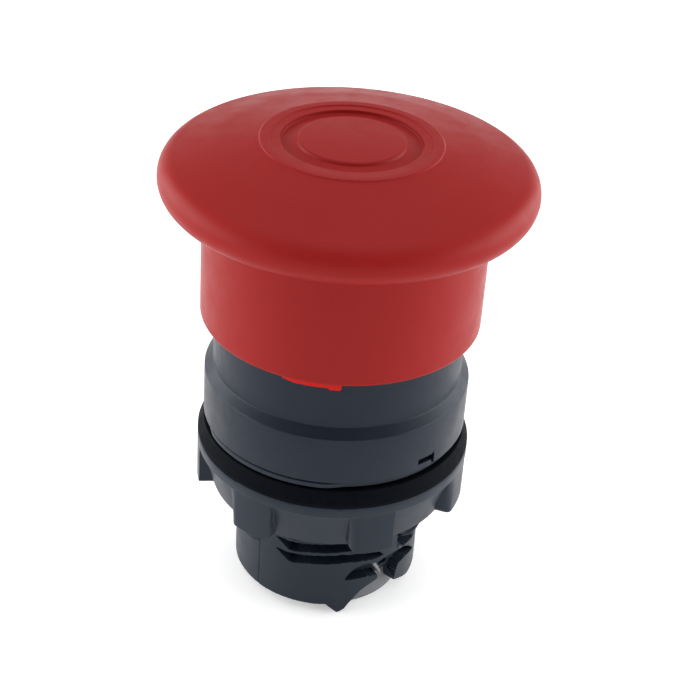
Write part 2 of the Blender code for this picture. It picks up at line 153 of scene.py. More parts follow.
def make_stage():
    """Pale floor under the object, side and back softboxes."""
    mesh = bpy.data.meshes.new("floor")
    z = cad_box[0].z - FLOOR_GAP
    corners = [(-1.0, -1.0), (1.0, -1.0), (1.0, 1.0), (-1.0, 1.0)]
    mesh.from_pydata([(x * FLOOR_HALF, y * FLOOR_HALF, z) for x, y in corners], [], [(0, 1, 2, 3)])
    floor = bpy.data.objects.new("floor", mesh)
    bpy.context.scene.collection.objects.link(floor)
    pale = bpy.data.materials.new("pale_floor")
    pale.use_nodes = True
    shader = pale.node_tree.nodes["Principled BSDF"]
    shader.inputs["Base Color"].default_value = (0.92, 0.92, 0.92, 1.0)
    shader.inputs["Roughness"].default_value = 0.9
    shader.inputs["Specular IOR Level"].default_value = 0.0
    shader.inputs["Emission Color"].default_value = (1.0, 1.0, 1.0, 1.0)
    shader.inputs["Emission Strength"].default_value = FLOOR_GLOW
    mesh.materials.append(pale)
    area_light("left_softbox", (-0.555, 0.05, 0.05), (0.8, 0.5), 6.4)
    area_light("right_softbox", (0.555, 0.08, 0.05), (0.8, 0.5), 6.4)
    area_light("back_softbox", (0.0, 0.60, 0.12), (0.8, 0.25), 0.35)
    bpy.context.scene.view_settings.view_transform = "Standard"


# ---------------------------------------------------------------- materials

def new_material(name, colour, roughness, metallic=0.0, specular=0.5, glint=(1.0, 1.0, 1.0)):
    """A Principled BSDF material; returns it with its tree and shader."""
    made = bpy.data.materials.new(name)
    made.use_nodes = True
    tree = made.node_tree
    shader = tree.nodes["Principled BSDF"]
    shader.inputs["Base Color"].default_value = (*colour, 1.0)
    shader.inputs["Roughness"].default_value = roughness
    shader.inputs["Metallic"].default_value = metallic
    shader.inputs["Specular IOR Level"].default_value = specular
    shader.inputs["Specular Tint"].default_value = (*glint, 1.0)
    return made, tree, shader


def noise(tree, scale, detail=3.0, roughness=0.5, stretch=(1.0, 1.0, 1.0)):
    """Noise over the object's own coordinates; scale is in features per metre."""
    coords = tree.nodes.new("ShaderNodeTexCoord")
    mapping = tree.nodes.new("ShaderNodeMapping")
    mapping.inputs["Scale"].default_value = stretch
    texture = tree.nodes.new("ShaderNodeTexNoise")
    texture.inputs["Scale"].default_value = scale
    texture.inputs["Detail"].default_value = detail
    texture.inputs["Roughness"].default_value = roughness
    tree.links.new(coords.outputs["Object"], mapping.inputs["Vector"])
    tree.links.new(mapping.outputs["Vector"], texture.inputs["Vector"])
    return texture.outputs["Fac"]


def spread(tree, value, low, high):
    """Maps a noise value, which is mostly between 0.3 and 0.7, to a range."""
    node = tree.nodes.new("ShaderNodeMapRange")
    node.inputs["From Min"].default_value = 0.3
    node.inputs["From Max"].default_value = 0.7
    node.inputs["To Min"].default_value = low
    node.inputs["To Max"].default_value = high
    tree.links.new(value, node.inputs["Value"])
    return node.outputs["Result"]


def tint(tree, shader, value, one, two):
    """Base colour that wanders between two tones with a value."""
    mix = tree.nodes.new("ShaderNodeMix")
    mix.data_type = "RGBA"
    mix.inputs[6].default_value = (*one, 1.0)
    mix.inputs[7].default_value = (*two, 1.0)
    tree.links.new(value, mix.inputs[0])
    tree.links.new(mix.outputs[2], shader.inputs["Base Color"])


def bump(tree, shader, heights):
    """Stacks bump layers; each is (value, depth in metres)."""
    normal = None
    for value, depth in heights:
        node = tree.nodes.new("ShaderNodeBump")
        node.inputs["Strength"].default_value = 1.0
        node.inputs["Distance"].default_value = depth
        tree.links.new(value, node.inputs["Height"])
        if normal:
            tree.links.new(normal, node.inputs["Normal"])
        normal = node.outputs["Normal"]
    tree.links.new(normal, shader.inputs["Normal"])


def moulded_plastic(name, colour, roughness, vary=0.06, specular=0.5, glint=(1.0, 1.0, 1.0)):
    """Satin moulded plastic: spark-eroded grain, faint flow marks and uneven polish."""
    made, tree, shader = new_material(name, colour, roughness, specular=specular, glint=glint)
    flow = noise(tree, 55.0, 2.0, 0.5, (1.0, 1.0, 0.45))
    polish = noise(tree, 420.0, 4.0, 0.6)
    fine = noise(tree, 5200.0, 2.0, 0.55)
    darker = tuple(c * (1 - vary) for c in colour)
    lighter = tuple(min(1.0, c * (1 + vary)) for c in colour)
    tint(tree, shader, spread(tree, flow, 0.0, 1.0), darker, lighter)
    tree.links.new(spread(tree, polish, roughness - 0.05, roughness + 0.06), shader.inputs["Roughness"])
    bump(tree, shader, [(flow, 0.000003), (polish, 0.000004), (fine, 0.0000035)])
    return made


def rubber(name):
    """Black moulded rubber with a dusty, slightly uneven surface."""
    made, tree, shader = new_material(name, (0.0015, 0.002, 0.004), 0.72, specular=0.05, glint=COOL)
    dust = noise(tree, 900.0, 5.0, 0.65)
    fine = noise(tree, 7000.0, 2.0)
    tint(tree, shader, spread(tree, dust, 0.0, 1.0), (0.0008, 0.0012, 0.0025), (0.003, 0.0038, 0.006))
    tree.links.new(spread(tree, dust, 0.62, 0.80), shader.inputs["Roughness"])
    bump(tree, shader, [(dust, 0.000012), (fine, 0.000005)])
    return made


def bright_steel(name, colour=(0.62, 0.62, 0.61), roughness=0.26):
    """Drawn or plated steel with fine scratches along its length."""
    made, tree, shader = new_material(name, colour, roughness, metallic=1.0)
    scratch = noise(tree, 2600.0, 3.0, 0.6, (1.0, 1.0, 0.15))
    patch = noise(tree, 300.0, 3.0)
    tint(tree, shader, spread(tree, patch, 0.0, 1.0), tuple(c * 0.86 for c in colour), colour)
    tree.links.new(spread(tree, scratch, roughness - 0.06, roughness + 0.12), shader.inputs["Roughness"])
    bump(tree, shader, [(scratch, 0.000003)])
    return made


# Base colours, and how strongly each plastic mirrors its surroundings. COOL tints the mirrored light.
RED = (0.258, 0.0110, 0.0096)
BRIGHT_RED = (0.52, 0.010, 0.006)
COLLAR_DARK = (0.0040, 0.0066, 0.0150)
BARREL_DARK = (0.0085, 0.0118, 0.0200)
NUT_DARK = (0.0088, 0.0124, 0.0210)
NATURAL = (0.70, 0.68, 0.61)
RETAINER_GREY = (0.135, 0.14, 0.15)
# The pale grey below is a painted highlight: it stands for the bright flank beside each spring window.
HIGHLIGHT_STRIP_GREY = (0.17, 0.175, 0.19)
COOL = (0.80, 0.90, 1.0)
PLASTIC_SHINE = 0.255
RED_SHINE = 0.085


# ---------------------------------------------------------------- mesh helpers

def add_piece(name, mesh, finish, slot, body, *nodes, smooth=32.0):
    """Puts a piece on its body, in place of its CAD nodes. Edges over smooth degrees stay sharp."""
    bm = bmesh.new()
    bm.from_mesh(mesh)
    bmesh.ops.recalc_face_normals(bm, faces=bm.faces)
    bm.to_mesh(mesh)
    bm.free()
    mesh.shade_smooth()
    mesh.set_sharp_from_angle(angle=math.radians(smooth))
    mesh.materials.append(finish)
    piece = bpy.data.objects.new(name, mesh)
    bpy.context.scene.collection.objects.link(piece)
    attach(piece, body)
    if nodes:
        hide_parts(*nodes)
    return piece


def rounded(corners, pieces=5):
    """Outline in metres with rounded corners, from (radius, z) or (radius, z, fillet) in millimetres."""
    outline = []
    count = len(corners)
    for i, corner in enumerate(corners):
        here = Vector(corner[:2])
        fillet = corner[2] if len(corner) > 2 else 0.0
        before = Vector(corners[i - 1][:2]) - here
        after = Vector(corners[(i + 1) % count][:2]) - here
        if fillet <= 0.0:
            outline.append(here)
            continue
        angle = before.angle(after)
        reach = min(fillet / math.tan(angle / 2), before.length * 0.49, after.length * 0.49)
        start = here + before.normalized() * reach
        end = here + after.normalized() * reach
        bisector = (before.normalized() + after.normalized()).normalized()
        centre = here + bisector * (reach / math.cos(angle / 2))
        one, two = start - centre, end - centre
        sweep = one.angle_signed(two)
        for k in range(pieces + 1):
            turn = Matrix.Rotation(-sweep * k / pieces, 2)
            outline.append(centre + turn @ one)
    return [(max(0.0, p.x) * MM, p.y * MM) for p in outline]


def turned_mesh(name, outline, steps=STEPS):
    """Spins an outline in metres round the axis. One that starts and ends on the axis is open there."""
    on_axis = outline[0][0] == 0.0 and outline[-1][0] == 0.0
    verts, rings = [], []
    for r, z in outline:
        if r == 0.0:
            rings.append([len(verts)] * steps)
            verts.append((0.0, 0.0, z))
            continue
        rings.append(list(range(len(verts), len(verts) + steps)))
        for i in range(steps):
            a = 2 * math.pi * i / steps
            verts.append((r * math.sin(a), -r * math.cos(a), z))
    pairs = list(zip(rings, rings[1:]))
    if not on_axis:
        pairs.append((rings[-1], rings[0]))
    faces = []
    for one, two in pairs:
        for i in range(steps):
            j = (i + 1) % steps
            corners = [one[i], one[j], two[j], two[i]]
            faces.append(list(dict.fromkeys(corners)))
    mesh = bpy.data.meshes.new(name)
    mesh.from_pydata(verts, [], faces)
    return mesh


def smooth_step(value, start, end):
    """0 before start, 1 after end, a smooth rise between."""
    t = min(1.0, max(0.0, (value - start) / (end - start)))
    return t * t * (3.0 - 2.0 * t)


def between(value, points):
    """Straight-line reading of (place, value) points."""
    if value <= points[0][0]:
        return points[0][1]
    for (p0, v0), (p1, v1) in zip(points, points[1:]):
        if value <= p1:
            return v0 + (v1 - v0) * (value - p0) / (p1 - p0)
    return points[-1][1]


def wrapped(azimuth):
    """The same azimuth between -180 and 180."""
    return (azimuth + 180.0) % 360.0 - 180.0


def polar(r, azimuth, z):
    """Place in metres of a radius and height in millimetres at an azimuth."""
    a = math.radians(azimuth)
    return (r * math.sin(a) * MM, -r * math.cos(a) * MM, z * MM)


def wall_segment(columns, inner, outer):
    """Vertices and faces of a curved wall piece; columns are (azimuth, lower z, upper z) in mm."""
    verts, faces = [], []
    for azimuth, low, high in columns:
        for r, z in ((inner, low), (outer, low), (outer, high), (inner, high)):
            verts.append(polar(r, azimuth, z))
    for i in range(len(columns) - 1):
        for k in range(4):
            m = (k + 1) % 4
            faces.append((4 * i + k, 4 * i + m, 4 * i + 4 + m, 4 * i + 4 + k))
    faces.append((0, 1, 2, 3))
    last = 4 * (len(columns) - 1)
    faces.append((last + 3, last + 2, last + 1, last))
    return verts, faces


def add_wall(bm, columns, inner, outer):
    """Adds a curved wall piece to a bmesh."""
    verts, faces = wall_segment(columns, inner, outer)
    made = [bm.verts.new(v) for v in verts]
    for face in faces:
        bm.faces.new([made[i] for i in face])


def swept_mesh(name, azimuths, outlines):
    """Closed ring through one outline, in millimetres, for each azimuth."""
    size, total = len(outlines[0]), len(azimuths)
    verts, faces = [], []
    for azimuth, outline in zip(azimuths, outlines):
        verts += [polar(r, azimuth, z) for r, z in outline]
    for c in range(total):
        one, two = c * size, (c + 1) % total * size
        for k in range(size):
            m = (k + 1) % size
            faces.append((one + k, one + m, two + m, two + k))
    mesh = bpy.data.meshes.new(name)
    mesh.from_pydata(verts, [], faces)
    return mesh


# ---------------------------------------------------------------- cap and carrier

TONGUES = [(-22.5 + 120.0 * i, 2.5 + 120.0 * i) for i in range(3)]  # first and last azimuth
TONGUE_TOP, TONGUE_FOOT = 29.3, 14.85
TONGUE_INNER, TONGUE_OUTER = 13.72, 14.5
TONGUE_STEPS = 48


def make_cap():
    """Dome with its ring relief, full round rim, underside and skirt."""
    corners = [
        (0, 36.12), (5.6, 36.12, 0.4), (5.80, 35.74, 0.2), (7.40, 35.52, 0.2), (7.46, 36.0, 0.12),
        (8.49, 36.0, 0.05), (8.53, 36.1, 0.05), (9.50, 36.1, 0.12), (9.66, 35.93, 0.10),
        (14.2, 35.06, 16.0),
    ]
    outline = rounded(corners + [(18.3, 33.92)])[:-1]
    rim_r, rim_z, rim = 17.7, 31.7, 2.3  # middle and radius of the rim's round
    rim_start, rim_sweep, rim_steps = 74.6, 164.6, 32
    for i in range(rim_steps + 1):
        a = math.radians(rim_start - rim_sweep * i / rim_steps)
        outline.append(((rim_r + rim * math.cos(a)) * MM, (rim_z + rim * math.sin(a)) * MM))
    inner = rounded([
        (17.7, 29.4), (15.34, 29.4, 0.6), (15.34, 15.64, 0.6), (14.56, 15.64, 0.12), (14.56, 30.4, 0.8),
        (12.9, 32.7, 1.0), (0, 33.9), (0, 36.0),
    ])
    outline += inner[1:-1]
    mesh = turned_mesh("cap_shell", outline)
    red = moulded_plastic("red_cap_plastic", RED, 0.42, vary=0.03, specular=RED_SHINE)
    add_piece("cap_shell", mesh, red, "red_plastic", "button", "mushroom_cap")


def tongue_low(azimuth, start, end):
    """Lower edge of a tongue: rising at its leading end, with a short nib at its trailing end."""
    nib = smooth_step(azimuth, end - 5.6, end - 4.6) * smooth_step(-azimuth, -end, -end + 0.6)
    lead = 1.0 - smooth_step(azimuth, start, start + 6.0)
    return TONGUE_FOOT + 0.20 * lead - 0.20 * nib


def make_carrier():
    """Disc with its hub, and three tongues that lie against the skirt."""
    plastic = moulded_plastic("bright_red_plastic", BRIGHT_RED, 0.36, specular=RED_SHINE)
    outline = rounded([
        (1.75, 29.4), (13.75, 29.4, 0.3), (13.75, 27.6, 0.3), (5.8, 27.6, 0.5), (5.8, 24.0, 0.3),
        (3.3, 24.0, 0.2), (3.3, 28.2), (1.75, 28.2),
    ])
    bm = bmesh.new()
    bm.from_mesh(turned_mesh("carrier_disc", outline))
    for start, end in TONGUES:
        columns = []
        for i in range(TONGUE_STEPS + 1):
            azimuth = start + (end - start) * i / TONGUE_STEPS
            columns.append((azimuth, tongue_low(azimuth, start, end), TONGUE_TOP))
        add_wall(bm, columns, TONGUE_INNER, TONGUE_OUTER)
    mesh = bpy.data.meshes.new("carrier_with_tongues")
    bm.to_mesh(mesh)
    bm.free()
    add_piece("carrier_with_tongues", mesh, plastic, "bright_red_plastic", "button", "cap_carrier")


# ---------------------------------------------------------------- collar and gasket

# The slot round a snap arm: (azimuth, lower z, upper z) along its level bar and its upright leg.
SLOT_BAR = [
    (39.6, 3.95, 4.32), (39.75, 3.68, 4.34), (43.5, 3.66, 4.33), (47.3, 3.6, 4.32), (48.9, 3.55, 4.36),
]
SLOT_LEG = [
    (47.3, 2.7, 3.95), (48.0, 2.7, 4.42), (48.5, 2.7, 4.62), (48.7, 2.7, 4.36), (49.1, 2.7, 4.2),
]


def make_collar():
    """Collar, shoulder and bezel ring, with the slot round each snap arm."""
    outline = rounded([
        (13.8, 22.0, 0.3), (13.8, 9.5, 0.25), (14.75, 8.6, 0.28), (14.75, 2.95, 0.12), (13.5, 2.95),
        (13.5, 6.2), (11.5, 6.2), (11.5, 9.4), (10.9, 9.4), (10.9, 12.0), (4.7, 12.0, 0.3),
        (4.7, 14.2, 0.3), (12.3, 14.2), (12.3, 22.0, 0.3),
    ])
    plastic = moulded_plastic("collar_plastic", COLLAR_DARK, 0.42, specular=PLASTIC_SHINE, glint=COOL)
    collar = add_piece("collar_and_bezel", turned_mesh("collar_and_bezel", outline), plastic,
                       "dark_plastic", "housing", "bezel_collar")
    bm = bmesh.new()
    for turn in (0.0, 180.0):
        for points in (SLOT_BAR, SLOT_LEG):
            columns = [(turn + azimuth, low, high) for azimuth, low, high in points]
            add_wall(bm, columns, 14.0, 15.5)
    bmesh.ops.recalc_face_normals(bm, faces=bm.faces)
    carve(collar, bm)


def carve(piece, bm):
    """Cuts the closed shapes of a bmesh out of a piece for good."""
    mesh = bpy.data.meshes.new("cutter")
    bm.to_mesh(mesh)
    bm.free()
    cutter = bpy.data.objects.new("cutter", mesh)
    bpy.context.scene.collection.objects.link(cutter)
    boolean = piece.modifiers.new("cut", "BOOLEAN")
    boolean.operation = "DIFFERENCE"
    boolean.solver = "EXACT"
    boolean.use_self = True
    boolean.object = cutter
    graph = bpy.context.evaluated_depsgraph_get()
    carved = bpy.data.meshes.new_from_object(piece.evaluated_get(graph))
    piece.modifiers.clear()
    piece.data = carved
    bpy.data.objects.remove(cutter, do_unlink=True)


def make_gasket():
    """Rubber ring with a sloping face between the bezel and the panel, with soft corners."""
    outline = rounded([
        (11.6, 0.12, 0.2), (15.38, 0.12, 0.08), (15.38, 0.42, 0.12), (14.74, 1.93, 0.12), (14.2, 1.93, 0.1),
        (14.1, 1.83, 0.1), (11.6, 1.83, 0.2),
    ])
    add_piece("gasket_ring", turned_mesh("gasket_ring", outline), rubber("gasket_rubber"),
              "black_rubber", "housing", "panel_gasket")


# ---------------------------------------------------------------- threaded barrel

BARREL_R = 10.64
SIDE_R = 11.2  # over the raised sectors at the sides
BORE_R = 9.05
TRACK_DEPTH = 1.2
LIP_Z, RIM_Z = 2.25, -17.44
MM_PER_DEGREE = BARREL_R * math.pi / 180.0
PARTING_LINE = -44.0
WINDOW = (41.5, 49.0, -14.0, -12.5)  # azimuths, then heights

# The wall's rows: wide apart where gasket and nut hide them, close where they are seen.
HIDDEN_ROWS, HIDDEN_STEP = 21, 0.4
FIRST_SEEN_ROW, LAST_ROW, SEEN_STEP = -6.0, -17.3, 0.1

# Thread: grooves one pitch apart, in four sectors given by azimuth. The back is like the front.
THREAD_PITCH = 1.62
THREAD_DEPTH = 1.2
FRONT_SECTORS = (0.0, 180.0)
SIDE_SECTORS = (82.0, 262.0)
FRONT_GROOVES, SIDE_GROOVES = 7, 5  # above the lowest one
SIDE_CREST = 0.18  # height of the crests between the side grooves

# Upper and lower border of the lowest groove in a front and in a side sector, as (azimuth, z). These
# azimuths count from the sector's own.
GROOVE_TOP = [
    (-31.2, -10.66), (-22.0, -10.72), (-10.0, -10.48), (3.6, -10.23), (11.0, -10.17), (19.7, -10.24),
    (30.7, -10.57), (36.0, -10.80), (39.6, -11.38),
]
GROOVE_LOW = [
    (-31.2, -10.72), (-27.0, -11.18), (-22.0, -11.90), (-18.0, -11.94), (-8.0, -11.56), (3.7, -11.42),
    (13.0, -11.27), (22.8, -11.36), (29.0, -11.52), (35.0, -11.52), (39.6, -11.42),
]
SIDE_TOP = [(-31.5, -10.2), (-30.0, -9.75), (-23.5, -10.25), (-15.0, -10.57), (-5.0, -10.8), (39.6, -10.8)]
SIDE_LOW = [
    (-31.5, -10.4), (-30.0, -10.9), (-27.4, -11.6), (-23.8, -12.02), (-18.0, -12.2), (-12.0, -12.45),
    (39.6, -12.45),
]

# Bayonet track, from the pocket through the throat to the side track: upper and lower border as
# (azimuth, z). Where the lower one is at -30 the track is open to the rim.
BAND_TOP = [
    (13.9, -13.72), (15.7, -13.22), (17.5, -12.78), (20.4, -12.34), (24.0, -12.12), (29.0, -12.14),
    (33.0, -12.30), (36.0, -12.34), (40.0, -12.12), (43.0, -12.02), (50.0, -12.02), (58.7, -12.27),
    (66.0, -13.10), (74.5, -14.50),
]
BAND_LOW = [
    (13.9, -13.78), (19.7, -13.78), (27.8, -13.82), (33.0, -13.98), (36.4, -14.12), (36.6, -30.0),
    (50.4, -30.0), (50.6, -16.2), (51.2, -15.5), (52.0, -14.85), (53.6, -14.1), (59.0, -13.98),
    (65.6, -14.1), (74.5, -14.52),
]

# Rim where it isn't level: the tooth, the ramp up to the throat, and the way back down.
RIM = [
    (0.8, -17.44), (5.9, -18.12), (9.4, -18.62), (11.7, -18.5), (14.7, -18.15), (17.1, -17.42),
    (18.6, -17.1), (21.5, -16.42), (24.5, -15.78), (28.4, -15.32), (33.4, -14.93), (36.5, -14.7),
    (50.3, -14.5), (50.8, -16.32), (61.7, -17.1), (67.0, -17.44),
]

# Share of the way from BARREL_R to SIDE_R at an azimuth, and where the raised side starts above the rim:
# (height of its foot, height over which it comes up).
SIDE_BULGE = [
    (-90.0, 1.0), (-71.0, 1.0), (-56.0, 0.86), (-49.5, 0.6), (-46.0, 0.22), (-44.0, 0.0),
    (50.8, 0.0), (52.5, 0.75), (57.0, 1.0), (90.0, 1.0),
]
BULGE_RIGHT = (-12.0, 1.3)
BULGE_LEFT = (-11.5, 0.2)


def edge(distance, soft=0.07):
    """1 well inside a shape and 0 outside it, from the distance to its border in millimetres."""
    return smooth_step(distance, -soft, soft)


def half_turn(azimuth):
    """The azimuth between -90 and 90 on its half of the barrel. The bayonet's two halves are alike."""
    return (azimuth + 90.0) % 180.0 - 90.0


def groove_share(azimuth, z):
    """1 on the floor of a thread groove, 0 on a crest and between the sectors."""
    for start in SIDE_SECTORS:
        along = wrapped(azimuth - start)
        if SIDE_TOP[0][0] < along < SIDE_TOP[-1][0]:
            return side_share(along, z)
    for start in FRONT_SECTORS:
        along = wrapped(azimuth - start)
        if GROOVE_TOP[0][0] < along < GROOVE_TOP[-1][0]:
            return front_share(along, z)
    return 0.0


def front_share(along, z):
    """The share in a front or back sector, whose grooves get shallower towards both ends."""
    high, low = between(along, GROOVE_TOP), between(along, GROOVE_LOW)
    nearest = min(FRONT_GROOVES, max(0, round((z - 0.5 * (high + low)) / THREAD_PITCH)))
    place = z - THREAD_PITCH * nearest
    inside = min(high - place, place - low)
    run = min(1.0, (along - GROOVE_TOP[0][0]) / 7.0, (GROOVE_TOP[-1][0] - along) / 6.0)
    return (0.3 + 0.7 * run) * min(1.0, max(0.0, inside / 0.17))


def side_share(along, z):
    """The share in a side sector, with thin crests and a tall lowest groove that ends early."""
    high, low = between(along, SIDE_TOP), between(along, SIDE_LOW)
    above = z - high
    if above <= 0.0:
        inside = min(-above, z - low)
        run = 1.0 - smooth_step(along, -12.0, -6.0)
    elif above < SIDE_GROOVES * THREAD_PITCH:
        place = above % THREAD_PITCH
        inside = min(place - SIDE_CREST, THREAD_PITCH - place)
        run = min(1.0, (SIDE_TOP[-1][0] - along) / 6.0)
    else:
        return 0.0
    run = min(run, (along - SIDE_TOP[0][0]) / 1.5)
    return run * min(1.0, max(0.0, inside / 0.12))


def track_depth(azimuth, z):
    """Depth of the bayonet track: a pocket, a throat open to the rim, and a side track."""
    start, end = BAND_TOP[0][0], BAND_TOP[-1][0]
    if not start - 1.0 < azimuth < end + 1.0:
        return 0.0
    band = min(
        between(azimuth, BAND_TOP) - z, z - between(azimuth, BAND_LOW),
        (azimuth - start) * MM_PER_DEGREE, (end - azimuth) * MM_PER_DEGREE,
    )
    return TRACK_DEPTH * edge(band)


def parting_depth(azimuth, z):
    """A fine groove where the mould halves meet, and the slightly lower face to its left."""
    away = (azimuth - PARTING_LINE) * MM_PER_DEGREE
    line = 0.10 * max(0.0, 1.0 - abs(away) / 0.11)
    return line + 0.03 * edge(-away, 0.05) * edge(away + 4.0, 0.8) * edge(-7.3 - z, 0.1)


def tooth_slope(azimuth, z):
    """The left half of each tooth leans in towards its tip."""
    lean = smooth_step(azimuth, 0.0, 1.0) * (1.0 - smooth_step(azimuth, 9.3, 10.0))
    return lean * edge(-17.42 - z, 0.05) * (0.12 + 0.035 * (10.0 - azimuth))


def barrel_radius(azimuth, z):
    """Outer radius of the barrel's wall."""
    half = half_turn(azimuth)
    groove = groove_share(azimuth, z)
    depth = max(THREAD_DEPTH * groove, track_depth(half, z))
    foot, taper = BULGE_RIGHT if half > 0.0 else BULGE_LEFT
    bulge = (SIDE_R - BARREL_R) * between(half, SIDE_BULGE) * min(1.0, max(0.0, (z - foot) / taper))
    return BARREL_R + bulge * (1.0 - groove) - depth - parting_depth(half, z) - tooth_slope(half, z)


def rim_height(azimuth):
    """Height of the rim: level with slight flash, a pointed tooth, and the ramp up to the throat."""
    half = half_turn(azimuth)
    if RIM[0][0] < half < RIM[-1][0]:
        return between(half, RIM)
    flash = 0.03 * math.sin(azimuth * 1.7) * math.sin(azimuth * 0.83 + 1.0) * math.sin(azimuth * 3.1)
    nick = 0.28 * max(0.0, 1.0 - abs(azimuth + 58.9) / 1.5)
    return RIM_Z + flash + nick


def barrel_azimuths():
    """Fine columns where the bayonet and thread ends are, coarser ones between."""
    fine = [-45.0 + 0.5 * i for i in range(270)]
    coarse = [90.0 + 1.0 * i for i in range(45)]
    return [a + turn for turn in (0.0, 180.0) for a in fine + coarse]


def barrel_rows():
    """Heights of the wall's rows where the rim is level."""
    hidden = [LIP_Z - 0.05 - HIDDEN_STEP * i for i in range(HIDDEN_ROWS)]
    count = round((FIRST_SEEN_ROW - LAST_ROW) / SEEN_STEP) + 1
    return hidden + [FIRST_SEEN_ROW - SEEN_STEP * i for i in range(count)]


def row_height(z, rim):
    """A row's height once the wall's foot is stretched or squeezed to the rim."""
    hinge = WINDOW[2] - 0.06
    if z >= hinge:
        return z
    return hinge + (z - hinge) * (rim - hinge) / (LAST_ROW - hinge)


def lip_radius(azimuth):
    """The flange's lip shows below the bezel only along the front left."""
    shown = smooth_step(wrapped(azimuth), -78.0, -60.0) * (1.0 - smooth_step(wrapped(azimuth), -4.0, 9.0))
    return 14.30 + 0.40 * shown


def barrel_top(azimuth):
    """Outline of the barrel's neck, inside the collar, and of its flange and lip."""
    lip = lip_radius(azimuth)
    return [
        (9.4, 9.1), (11.1, 9.1), (11.2, 9.0), (11.2, 4.0), (13.2, 4.0), (13.2, 2.8), (lip - 0.10, 2.8),
        (lip, 2.72), (lip, 2.28), (lip - 0.08, 2.2), (BARREL_R, LIP_Z),
    ]


def barrel_outline(azimuth, rows):
    """Closed outline of the barrel's wall at an azimuth: down the outside, up the bore."""
    rim = rim_height(azimuth)
    points = barrel_top(azimuth)
    for z in rows:
        height = row_height(z, rim)
        points.append((barrel_radius(azimuth, height), height))
    points[-1] = (points[-1][0] - 0.05, rim)
    return points + [
        (BORE_R + 0.06, rim), (BORE_R, rim + 0.04), (BORE_R, WINDOW[2]), (BORE_R, WINDOW[3]),
        (BORE_R, -2.3), (9.4, -2.3),
    ]


def make_barrel():
    """Barrel with thread sectors, bayonet tracks, end teeth, parting line and spring windows."""
    rows = barrel_rows()
    azimuths = barrel_azimuths()
    first_row = len(barrel_top(0.0))
    top_row = first_row + min(range(len(rows)), key=lambda i: abs(rows[i] - WINDOW[3]))
    low_row = first_row + min(range(len(rows)), key=lambda i: abs(rows[i] - WINDOW[2]))
    outlines = [barrel_outline(a, rows) for a in azimuths]
    size, total = len(outlines[0]), len(azimuths)
    bore_low, bore_high = size - 4, size - 3  # the bore's points at the window's foot and top
    verts, faces = [], []
    for azimuth, outline in zip(azimuths, outlines):
        verts += [polar(r, azimuth, z) for r, z in outline]
    for c, azimuth in enumerate(azimuths):
        one, two = c * size, (c + 1) % total * size
        open_here = WINDOW[0] - 0.01 <= azimuth % 180.0 < WINDOW[1] - 0.01
        for k in range(size):
            gap = open_here and (top_row <= k < low_row or k == bore_low)
            if not gap:
                m = (k + 1) % size
                faces.append((one + k, one + m, two + m, two + k))
        if open_here:
            faces.append((one + top_row, two + top_row, two + bore_high, one + bore_high))
            faces.append((two + low_row, one + low_row, one + bore_low, two + bore_low))
    for turn in (0.0, 180.0):
        for side in (WINDOW[0], WINDOW[1]):
            c = min(range(total), key=lambda i: abs(azimuths[i] - side - turn))
            wall = list(range(top_row, low_row + 1)) + [bore_low, bore_high]
            faces.append([c * size + k for k in wall])
    mesh = bpy.data.meshes.new("barrel")
    mesh.from_pydata(verts, [], faces)
    plastic = moulded_plastic("barrel_plastic", BARREL_DARK, 0.42, specular=PLASTIC_SHINE, glint=COOL)
    add_piece("barrel", mesh, plastic, "dark_plastic", "housing", "threaded_barrel", smooth=38.0)


# The pale strip beside a window, a painted highlight where the track's flank catches the side light:
# (azimuth, lower z, upper z) down its ragged length.
HIGHLIGHT_STRIP = [
    (33.4, -12.6, -12.2), (34.4, -13.15, -12.25), (35.1, -13.0, -12.6), (36.0, -13.65, -12.75),
    (36.7, -13.5, -13.1), (37.6, -14.15, -13.25), (38.3, -14.0, -13.65), (39.2, -14.55, -13.85),
    (40.0, -14.6, -14.3),
]


def make_highlight_strips():
    """The rough pale strip that stands between each pocket and the window: a painted highlight on a thin
    raised piece.
    """
    # Pale grey with strong variation: a painted highlight of the track's flank.
    highlight_finish = moulded_plastic("painted_highlight_strip_plastic", HIGHLIGHT_STRIP_GREY, 0.5, vary=0.4)
    for turn, name in ((0.0, "highlight_strip_front"), (180.0, "highlight_strip_back")):
        columns = [(azimuth + turn, low, high) for azimuth, low, high in HIGHLIGHT_STRIP]
        verts, faces = wall_segment(columns, 9.3, 10.25)
        mesh = bpy.data.meshes.new(name)
        mesh.from_pydata(verts, [], faces)
        add_piece(name, mesh, highlight_finish, "grey_plastic", "housing")


# ---------------------------------------------------------------- fixing nut

LUGS = 7
LUG_FIRST = 19.7  # azimuth of a lug's middle
LUG_LEFT, LUG_RIGHT, LUG_LOW = 2.7, 2.5, -6.06  # reach to each side of the middle, and foot
CORNER_LEFT, CORNER_RIGHT = 0.85, 0.40
BROAD_LUG = (-60.0, -6.0)  # azimuths round the front left lug, which differs from the others
BROAD_LEFT, BROAD_RIGHT, BROAD_CORNER = 0.75, -0.30, 0.75  # added reach, and its right corner
NUT_R = 15.4
NUT_FOOT = -6.14
WALL_R, WALL_TOP, WALL_TAPER = 15.05, -1.25, 1.39  # radius below the flange; how much it loses by the foot
NIBS = (-15.2, 5.4)  # azimuths of the small moulding nibs on the flange


